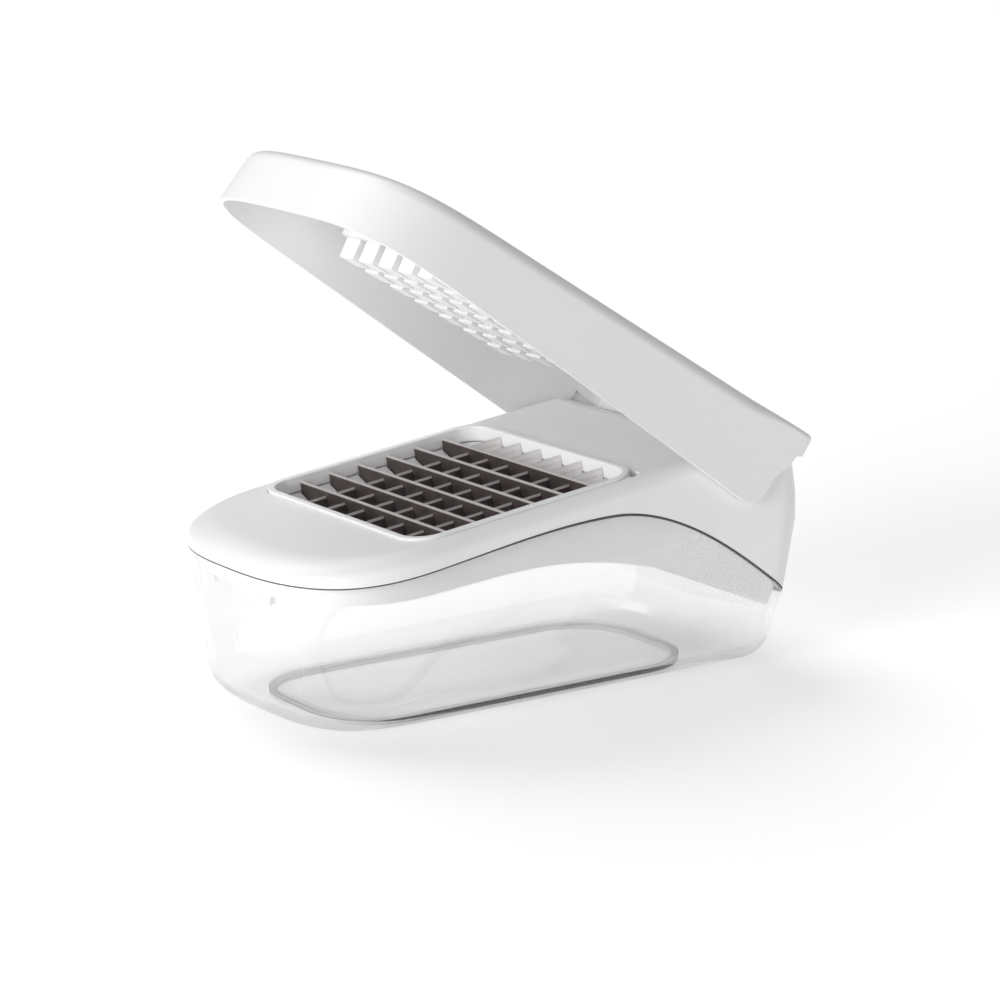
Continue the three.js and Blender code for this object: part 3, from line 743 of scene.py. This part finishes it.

# %% [markdown]
# ## The ring's rubber
# The ring shows through the clear floor as a pale band with one dark line at its near outer edge,
# thick towards the rear. That line is painted shade, not a colour of the rubber. Two materials would
# need a cut along the ring. A mask is easier: the distance from the ring's straight middle gives the
# outer edge, and a height that grows to the rear gives the painted shade's thickness.

# %% The ring's rubber
def ring_rubber_with_painted_shade():
    """Pale where it is seen through the bin's floor, with painted shade along its outer edge."""
    material, shader, where = new_material("ring_rubber_with_painted_shade")
    straight = (ring_half_x - ring_corner, ring_half_y - ring_corner, 0)
    folded = where.vector_math("SUBTRACT", (0, ring_middle, 0)).vector_math("ABSOLUTE")
    outside = folded.vector_math("SUBTRACT", straight).vector_math("MAXIMUM", (0, 0, 0))
    reach = outside.vector_math("MULTIPLY", (1, 1, 0)).vector_math("LENGTH", output="Value")
    lip = reach.above(ring_corner - 0.35 * mm)
    along = where.node("ShaderNodeSeparateXYZ", "Y", Vector=where)
    height = where.node("ShaderNodeSeparateXYZ", "Z", Vector=where)
    # Thickness of the painted shade along the outer edge, growing towards the rear.
    shadow_line_height = along.node(
        "ShaderNodeMapRange", "Result", {"interpolation_type": "SMOOTHSTEP"}, Value=along,
        From_Min=-75 * mm, From_Max=-20 * mm, To_Min=0.5 * mm, To_Max=1.5 * mm)
    high = (height + shadow_line_height).above(ring_high.z)
    grain = noise(where, 900.0, 2.0)
    # Pale rubber, with painted shade where the outer edge and the height band meet.
    feed(
        shader, Base_Color=mix_colour(lip * high, (0.62, 0.62, 0.625, 1), (0.05, 0.05, 0.056, 1)),
        Roughness=0.5 + grain * 0.2, Normal=bump(grain, 0.2, 0.08 * mm))
    return material


foot_ring.data.materials[0] = ring_rubber_with_painted_shade()
print("foot ring finish", foot_ring.data.materials[0].name)

# %% [markdown]
# ## The deck's sizes
# The deck is a crowned shell. Its skirt is set in by the bin's wall, so that it plugs into the bin
# and its ledge stops just over the rim. Its top lies just over the blades' plane and slopes with it.
# Each size could be typed where it is used, but the names let the strip and the lid share them.

# %% Deck sizes
seam_gap = 0.5 * mm
skirt_thickness = 2 * mm
skirt_clearance = 0.4 * mm
# How far up the bin's leaning rear corners the skirt's lower edge lies.
skirt_share = 0.17
deck_wall = 2.2 * mm
deck_thickness = 2.6 * mm
shoulder_drop = 3.8 * mm
deck_top_rise = 0.8 * mm
crown_side = 6 * mm
crown_nose = 13 * mm
crown_nose_y = -68.975 * mm
overrun = 2 * mm


def shoulder_z(y):
    return blade_z(y) - shoulder_drop


def deck_top_z(y):
    return blade_z(y) + deck_top_rise


print("deck top at the blades", round(deck_top_z(grid_centre.y), 4))

# %% [markdown]
# ## The deck's skin
# From below, the rings are the skirt's lower edge and middle, the ledge over the rim, the wall and the
# crown, which is wider round the nose than at the sides. Solidify could give this skin a wall, but the
# skirt, the wall and the top differ in thickness. So the hollow is a solid of its own, made by the
# same function.

# %% Deck skin
def deck_skin(name, depth):
    """The deck's closed outer form at depth 0, or the form of its hollow at the top's thickness."""
    plug = bin_wall + skirt_clearance
    below = plug + (skirt_thickness if depth else 0)
    drop = overrun if depth else 0

    def crown_width(y):
        return mix(crown_side, crown_nose, smooth((crown_nose_y - y) / (crown_nose_y - body_front)))

    def step_z(y):
        return seam_z(y) + seam_gap + (deck_wall if depth else 0)

    def side_inset(y):
        if not depth:
            return 0
        room = smooth((shoulder_z(y) - seam_z(y) - 2 * deck_wall) / (3 * deck_wall))
        return mix(below, deck_wall, room)

    def side(height_at, inset_of, points=body_outline):
        return ring(
            points, lambda y, z: draft_inset(z) + covered_inset(y, z) + inset_of(y),
            height_at, rear_lean)

    def top(y):
        return deck_top_z(y) - depth

    def corner(y):
        return max(top(y) - deck_top_rise - shoulder_drop, step_z(y) + depth * 0.1)

    rings = [
        side(lambda y: skirt_z(y) - drop, lambda y: below, between_outlines(skirt_share)),
        side(
            lambda y: mix(skirt_z(y) - drop, step_z(y), 0.5), lambda y: below,
            between_outlines((1 + skirt_share) / 2)),
        side(step_z, lambda y: below),
        side(lambda y: step_z(y) + depth * 0.02, side_inset),
    ]
    wall_steps = 6
    for i in range(1, wall_steps):
        rings.append(side(lambda y, t=i / wall_steps: mix(step_z(y), corner(y), t), side_inset))
    crown_steps = 10
    for i in range(crown_steps + 1):
        angle = math.pi / 2 * i / crown_steps
        rings.append(side(
            lambda y, a=angle: mix(corner(y), top(y), math.sin(a)),
            lambda y, a=angle: side_inset(y) + (crown_width(y) - depth * 0.5) * (1 - math.cos(a))))
    return loft(name, rings)


deck_shell = deck_skin("deck_shell", 0)
hollow = deck_skin("hollow", deck_thickness)
print("deck faces", len(deck_shell.data.polygons), "hollow faces", len(hollow.data.polygons))

# %% [markdown]
# ## The fall behind the blades
# Behind the blades the deck's top curves down to a ledge that the shut lid passes over. It could be
# part of the rings, but they would bunch up there. A prism drawn from the side and cut away gives the
# same curve on the deck and, set lower, on the hollow.

# %% Fall
fall_start = 66.975 * mm
ledge_front = 93.975 * mm
ledge_z = 77.4 * mm
ledge_fall = 1 * mm
lid_reach = 66 * mm


def across_prism(name, profile):
    """A profile seen from the side, extruded across the whole width."""
    return prism(name, [Vector((-lid_reach, y, z)) for y, z in profile], Vector((2 * lid_reach, 0, 0)))


def fall_tool(name, depth):
    """What lies above the top behind the blades: a curve down to a ledge."""
    start_z = deck_top_z(fall_start) + deck_top_rise - depth
    end_z = ledge_z - depth
    steps = 24
    profile = []
    for i in range(steps + 1):
        t = i / steps
        y = (1 - t) ** 2 * fall_start + t * (1 - t) * (fall_start + ledge_front) + t * t * ledge_front
        z = (1 - t) ** 2 * start_z + 2 * t * (1 - t) * start_z + t * t * end_z
        profile.append((y, z))
    rear = body_rear + overrun
    profile += [(rear, end_z - ledge_fall), (rear, end_z + lid_reach), (fall_start, end_z + lid_reach)]
    return across_prism(name, profile)


carve(deck_shell, fall_tool("fall", 0))
carve(hollow, fall_tool("inner_fall", deck_thickness))
print("deck faces with the fall", len(deck_shell.data.polygons))

# %% [markdown]
# ## The hinge's bosses and studs
# The lid turns on two studs in two bosses inside the deck's side walls. A boss could be joined to the
# finished deck. But what is cut from the hollow is left standing when the hollow itself is cut from
# the deck, so a boss is a bar that is cut from the hollow, and needs no join.

# %% Hinge
hinge_y = 77.375 * mm
hinge_z = 76 * mm
boss_radius = 6.5 * mm
boss_length = 6 * mm
stud_radius = 3 * mm


def hinge_rod(name, radius, start_x, end_x, sides=48):
    """A round bar on the hinge's line."""
    bm = bmesh.new()
    middle = Matrix.Translation(((start_x + end_x) / 2, hinge_y, hinge_z))
    bmesh.ops.create_cone(
        bm, cap_ends=True, segments=sides, radius1=radius, radius2=radius,
        depth=abs(end_x - start_x), matrix=middle @ Matrix.Rotation(math.pi / 2, 4, "Y"))
    return as_object(name, bm)


for side in (-1, 1):
    carve(hollow, hinge_rod(
        "boss", boss_radius, side * (body_half_width - deck_wall / 2),
        side * (body_half_width - boss_length)))
print("hollow faces with the bosses", len(hollow.data.polygons))

# %% [markdown]
# ## The seat of the blade frame
# The blades lie in a frame that drops into the deck. Its seat has a step to lie on, a throat for the
# food, a collar round both, and a round recess for a fingertip at the rear near corner. They could be
# drawn level and turned, but all lie in the plane of the cutting edges, so they are drawn in it.

# %% Seat
blade_tail_x = 49.2 * mm
blade_tail_y = 46.2 * mm
rim_width = 2.8 * mm
rim_corner = 9 * mm
rim_inner = (blade_tail_x + clearance, blade_tail_y + clearance)
rim_outer = (rim_inner[0] + rim_width, rim_inner[1] + rim_width)
rim_outer_corner = rim_corner + rim_width
rim_depth = 4.2 * mm
frame_step = 1.5 * mm
collar = 2 * mm
collar_depth = 9 * mm
notch_radius = 3.6 * mm
notch_depth = 2.4 * mm
cut_height = 10 * mm


def on_grid(u, v, w):
    """A point given across, along and above the plane of the cutting edges."""
    return grid_centre + Vector((u, 0, 0)) + grid_along * v + grid_up * w


def circle(x, y, radius, sides=32):
    """Points of a circle in its own plane."""
    turns = [math.tau * i / sides for i in range(sides)]
    return [(x + radius * math.cos(turn), y + radius * math.sin(turn)) for turn in turns]


def grid_prism(name, points, low, high):
    return prism(name, [on_grid(u, v, low) for u, v in points], grid_up * (high - low))


def round_frame(amount):
    """The frame's outer outline, grown by an amount."""
    return rounded_rectangle(rim_outer[0] + amount, rim_outer[1] + amount, rim_outer_corner + amount)


carve(hollow, grid_prism(
    "collar", round_frame(clearance + collar), -collar_depth, deck_top_rise - deck_thickness / 2))
carve(deck_shell, hollow)
carve(deck_shell, grid_prism("seat", round_frame(clearance), -rim_depth - clearance, cut_height))
carve(deck_shell, grid_prism(
    "throat", round_frame(clearance - frame_step), -collar_depth - overrun, cut_height))
corner_back = rim_outer_corner * (1 - math.sqrt(0.5))
notch_bottom = deck_top_rise - notch_depth
carve(deck_shell, grid_prism(
    "notch", circle(rim_outer[0] - corner_back, rim_outer[1] - corner_back, notch_radius),
    notch_bottom, notch_bottom + cut_height))
print("deck faces with the seat", len(deck_shell.data.polygons))

# %% [markdown]
# ## Pin holes and catch ribs
# The lid's studs turn in a hole through both bosses. Under the nose two small ribs hang from the
# skirt and catch the bin's wall. They could be part of the skirt's rings, but two small blocks are
# simpler. They start inside the skirt, so that the join is a clean one.

# %% Last cuts of the deck
catch_x, catch_width, catch_drop = 19 * mm, 1.4 * mm, 3.5 * mm
carve(deck_shell, hinge_rod("pin_hole", stud_radius + clearance, -lid_reach, lid_reach))
for side in (-1, 1):
    front_y = min(y for x, y, *_ in body_outline if abs(x - side * catch_x) < 2 * mm)
    catch_bottom = skirt_z(front_y) - catch_drop
    catch_front = front_y + draft_inset(catch_bottom) + bin_wall + 2 * skirt_clearance
    low = (side * catch_x - catch_width / 2, catch_front, catch_bottom)
    high = (side * catch_x + catch_width / 2, catch_front + skirt_thickness, skirt_z(front_y) + overrun)
    carve(deck_shell, block("catch", low, high), "UNION")
finish_piece(deck_shell, "top", "white_plastic", ["cutting_deck"], bevel=0.5 * mm, segments=3)

# %% [markdown]
# ## The seam line
# A thin dark strip lies in the gap between the bin's rim and the deck, and draws the wavy line: it is
# painted shadow, a dark thing put where the gap's shade falls. A shadow in an empty gap would be too
# pale, because the walls round it are white and clear. The strip is a tube of four rings that ends
# where it starts, so it has no ends to fill.

# %% Seam strip
strip_depth = 1.2 * mm
strip_inset = 0.1 * mm
strip_air = 0.04 * mm


def strip_ring(inset, height_at):
    return ring(body_outline, lambda y, z: draft_inset(z) + inset, height_at, rear_lean)


def strip_bottom(y):
    return rim_z(y) + strip_air


def strip_top(y):
    return seam_z(y) + seam_gap - strip_air


strip_inner = strip_inset + strip_depth
# A dark strip that stands in for the shadow in the seam's gap.
seam_shadow_strip = as_object("seam_shadow_strip", tube([
    strip_ring(strip_inset, strip_bottom), strip_ring(strip_inset, strip_top),
    strip_ring(strip_inner, strip_top), strip_ring(strip_inner, strip_bottom),
    strip_ring(strip_inset, strip_bottom)]))
finish_piece(seam_shadow_strip, "top", "grip_rubber", bevel=0)

# %% [markdown]
# ## The lid's sizes
# The lid is a tapering cap: the outline of the body set out by a clearance and a wall, with a squarer
# nose and tighter corners. A box of its own would do, but as the body's outline grown outward it
# passes the deck with the same air all the way.

# %% Lid sizes
lid_wall = 2 * mm
lid_gap = 0.8 * mm
lid_top_thickness = 2.4 * mm
lid_edge_radius = 5 * mm
lid_corner = 5.5 * mm
lid_inner_corner = 12 * mm
lid_rear = 97.375 * mm
lid_overhang = 8 * mm
lid_squareness = 3.6
lid_crisp_start = 60 * mm
lid_crisp_end = 85 * mm
lid_crisp_share = 0.4


def lid_outline(corner):
    half_width = body_half_width + lid_gap + lid_wall
    return outline(half_width, body_front - lid_overhang, lid_rear, corner, lid_squareness)


print("lid outline points", len(lid_outline(lid_corner)))

# %% [markdown]
# ## The lid's cap
# The cap's top edges are round at the nose and turn crisp towards the rear. A bevel modifier has one
# width for all edges, so the round is made of rings whose radius shrinks on the way. The cap is made
# shut, because its lines are measured against the deck's there, and its hollow comes from the same
# function, with wider corners.

# %% Lid cap
def lid_skin(name, wall, top_thickness):
    """The lid's closed outer form with no wall, or the form of its hollow."""
    radius = lid_edge_radius - wall / 2
    drop = overrun if wall else 0
    points = lid_outline(lid_inner_corner if wall else lid_corner)

    def crisp(y):
        share = smooth((y - lid_crisp_start) / (lid_crisp_end - lid_crisp_start))
        return mix(1, lid_crisp_share, share)

    def inset_at(y, z):
        return wall + covered_inset(y, z)

    def top_of(y):
        return lid_top_z(y) - top_thickness

    wall_steps = 6
    rings = []
    for i in range(wall_steps):
        rings.append(ring(
            points, inset_at,
            lambda y, t=i / wall_steps: mix(lid_edge_z(y) - drop, top_of(y) - radius * crisp(y), t)))
    edge_steps = 10
    for i in range(edge_steps + 1):
        angle = math.pi / 2 * i / edge_steps
        lowered = radius * (1 - math.sin(angle))
        turned = radius * (1 - math.cos(angle))
        rings.append(ring(
            points, lambda y, z, turned=turned: inset_at(y, z) + turned * crisp(y),
            lambda y, lowered=lowered: top_of(y) - lowered * crisp(y)))
    return loft(name, rings)


lid_cap = lid_skin("lid_cap", 0, 0)
lid_hollow = lid_skin("lid_hollow", lid_wall, lid_top_thickness)
print("lid faces", len(lid_cap.data.polygons))

# %% [markdown]
# ## The lid's rear
# Behind the hinge the lid ends in a lip over a short rear wall, and its cheeks turn round the hinge
# in an arc. The lid could be modelled round that shape. It is quicker to trim the whole cap with one
# profile seen from the side, and then to clear the room between the cheeks.

# %% Rear wall, cheeks and lip
lid_rear_wall = 91.375 * mm
lid_rear_wall_bottom = 89.4 * mm
lip_bottom = 95.6 * mm
lip_root = 92.4 * mm
cheek_radius = 9.8 * mm
cheek_top_angle = math.radians(20)


def lid_trim(name):
    """What is cut away behind and below the lid's rear, seen from the side."""
    far = lid_rear + lid_reach
    profile = [(far, lip_bottom), (lid_rear, lip_bottom), (lid_rear_wall, lip_root),
               (lid_rear_wall - lid_wall / 4, lid_rear_wall_bottom)]
    steps = 20
    for i in range(steps + 1):
        angle = mix(cheek_top_angle, lid_edge_slope - math.pi / 2, i / steps)
        profile.append((
            hinge_y + cheek_radius * math.cos(angle), hinge_z + cheek_radius * math.sin(angle)))
    profile += [(hinge_y, -lid_reach), (far, -lid_reach)]
    return across_prism(name, profile)


carve(lid_hollow, block(
    "rear_wall", (-lid_reach, lid_rear_wall - lid_wall, 0),
    (lid_reach, lid_rear + overrun, 2 * lid_reach)))
carve(lid_cap, lid_hollow)
carve(lid_cap, lid_trim("trim"))
inner_x = body_half_width + lid_gap
carve(lid_cap, block(
    "gap", (-inner_x, hinge_y, 0), (inner_x, lid_rear + overrun, lid_rear_wall_bottom)))
print("lid faces with its rear", len(lid_cap.data.polygons))

# %% [markdown]
# ## Studs, posts and the open lid
# Two studs reach into the deck's bosses, and four short posts carry the pusher. They could be pieces
# of their own, but a mould makes them in one with the lid. They are joined while the lid is still
# shut, because the posts stand square to the blades' plane then. Last the cap is turned open.

# %% Lid joined and opened
pusher_top = 10.2 * mm
post_radius = 4 * mm
post_cells = 3
lid_open = math.radians(38.65)

for side in (-1, 1):
    carve(lid_cap, hinge_rod(
        "stud", stud_radius, side * (body_half_width + lid_gap + lid_wall / 2),
        side * (body_half_width - boss_length + clearance)), "UNION")
post_top = lid_top_z(grid_centre.y) - lid_top_thickness / 2 - grid_centre.z
for u, v in ((-1, -1), (1, -1), (1, 1), (-1, 1)):
    post = circle(u * post_cells * cell_pitch, v * post_cells * cell_pitch, post_radius)
    carve(lid_cap, grid_prism("post", post, pusher_top + clearance, post_top), "UNION")

hinge = Vector((0, hinge_y, hinge_z))
lid_cap.data.transform(
    Matrix.Translation(hinge) @ Matrix.Rotation(-lid_open, 4, "X") @ Matrix.Translation(-hinge))
finish_piece(lid_cap, "lid", "white_plastic", ["lid_shell"], bevel=0.5 * mm, segments=3)

# %% [markdown]
# ## Blades, frame, pusher and cleaning grid
# These are flat-faced pieces whose shape is right already, so nothing is modelled again. The plastic
# ones get a merged copy with a fine bevel, so that their edges catch the light as moulded edges do.
# The steel strips keep their own thin meshes, and the highlights on their ground edges are painted in
# the material.

# %% Flat-faced pieces
def from_node(name, node):
    """A merged copy of a node's mesh, with its flat faces whole again."""
    bm = bmesh.new()
    bm.from_mesh(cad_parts[node].data)
    bmesh.ops.remove_doubles(bm, verts=bm.verts, dist=0.005 * mm)
    bmesh.ops.dissolve_limit(bm, angle_limit=math.radians(1.0), verts=bm.verts, edges=bm.edges)
    mesh = bpy.data.meshes.new(name)
    bm.to_mesh(mesh)
    bm.free()
    made = bpy.data.objects.new(name, mesh)
    bpy.context.scene.collection.objects.link(made)
    return made


for node, body, slot, bevel in (
        ("blade_frame_rim", "top", "white_plastic", 0.6 * mm),
        ("blade_frame_base", "top", "white_plastic", 0.25 * mm),
        ("pusher_plate", "lid", "white_plastic", 0.35 * mm),
        ("cleaning_grid", "grid", "white_plastic", 0.2 * mm)):
    finish_piece(from_node(node + "_finished", node), body, slot, [node], bevel=bevel)

blade_names = ("cross_blade", "long_blade")
blades = [node for name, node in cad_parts.items() if name.startswith(blade_names)]
for blade in blades:
    blade.data.materials.clear()
    blade.data.materials.append(materials["blade_steel"])
print("blades", len(blades))

# %% [markdown]
# ## The floor and the surround
# The chopper stands on a white sweep that glows a little, as one lit from below does, under an even
# surround. A floor that is only bright would need so much light that the white plastic burns out, so
# part of its brightness is emission.

# %% Floor and surround
def pale_floor():
    material, shader, where = new_material(
        "pale_floor", Roughness=0.8, Emission_Color=(1, 1, 1, 1), Emission_Strength=0.34)
    wander = noise(where, 3.0, 2.0)
    feed(shader, Base_Color=mix_colour(wander, (0.94, 0.94, 0.94, 1), (0.96, 0.96, 0.96, 1)))
    return material


floor_size = 12
bm = bmesh.new()
bmesh.ops.create_grid(bm, x_segments=1, y_segments=1, size=floor_size)
floor = as_object("floor", bm)
floor.data.materials.append(pale_floor())
floor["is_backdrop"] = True

world = bpy.data.worlds.new("surround")
world.use_nodes = True
surround = world.node_tree.nodes["Background"].inputs
surround["Color"].default_value = (0.985, 0.99, 1, 1)
surround["Strength"].default_value = 0.3
bpy.context.scene.world = world
print("floor", floor_size * 2, "m wide")

# %% [markdown]
# ## The lights
# A broad light comes from the upper left. Two come low from the front and reach under the open lid, so
# that nothing in its mouth goes dark. The near side faces none of them and falls into a light grey.
# Area lights could do it too, but a sun with a wide angle lights every place alike. The strengths
# were fitted from each light's share alone, because light adds up in even steps.

# %% Lights
def soft_sun(name, along, angle, strength):
    data = bpy.data.lights.new(name, "SUN")
    data.angle = math.radians(angle)
    data.energy = strength
    sun = bpy.data.objects.new(name, data)
    bpy.context.scene.collection.objects.link(sun)
    sun.rotation_mode = "QUATERNION"
    sun.rotation_quaternion = Vector(along).to_track_quat("-Z", "Y")
    print(name, "strength", strength)


soft_sun("upper_left_light", (0.7, 0.05, -1), 40, 1.02)
soft_sun("front_light", (0, 1, -0.2), 50, 0.36)
soft_sun("under_lid_light", (-0.25, 1, -0.25), 26, 1.65)
bpy.context.scene.view_settings.view_transform = "Standard"

# %% [markdown]
# ## The size of the result
# The dressed object's box is printed, so that a piece that grew or shrank shows in its size.

# %% The box of the dressed object
low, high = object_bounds()
print("visual box", [round(v, 4) for v in (*low, *high)])
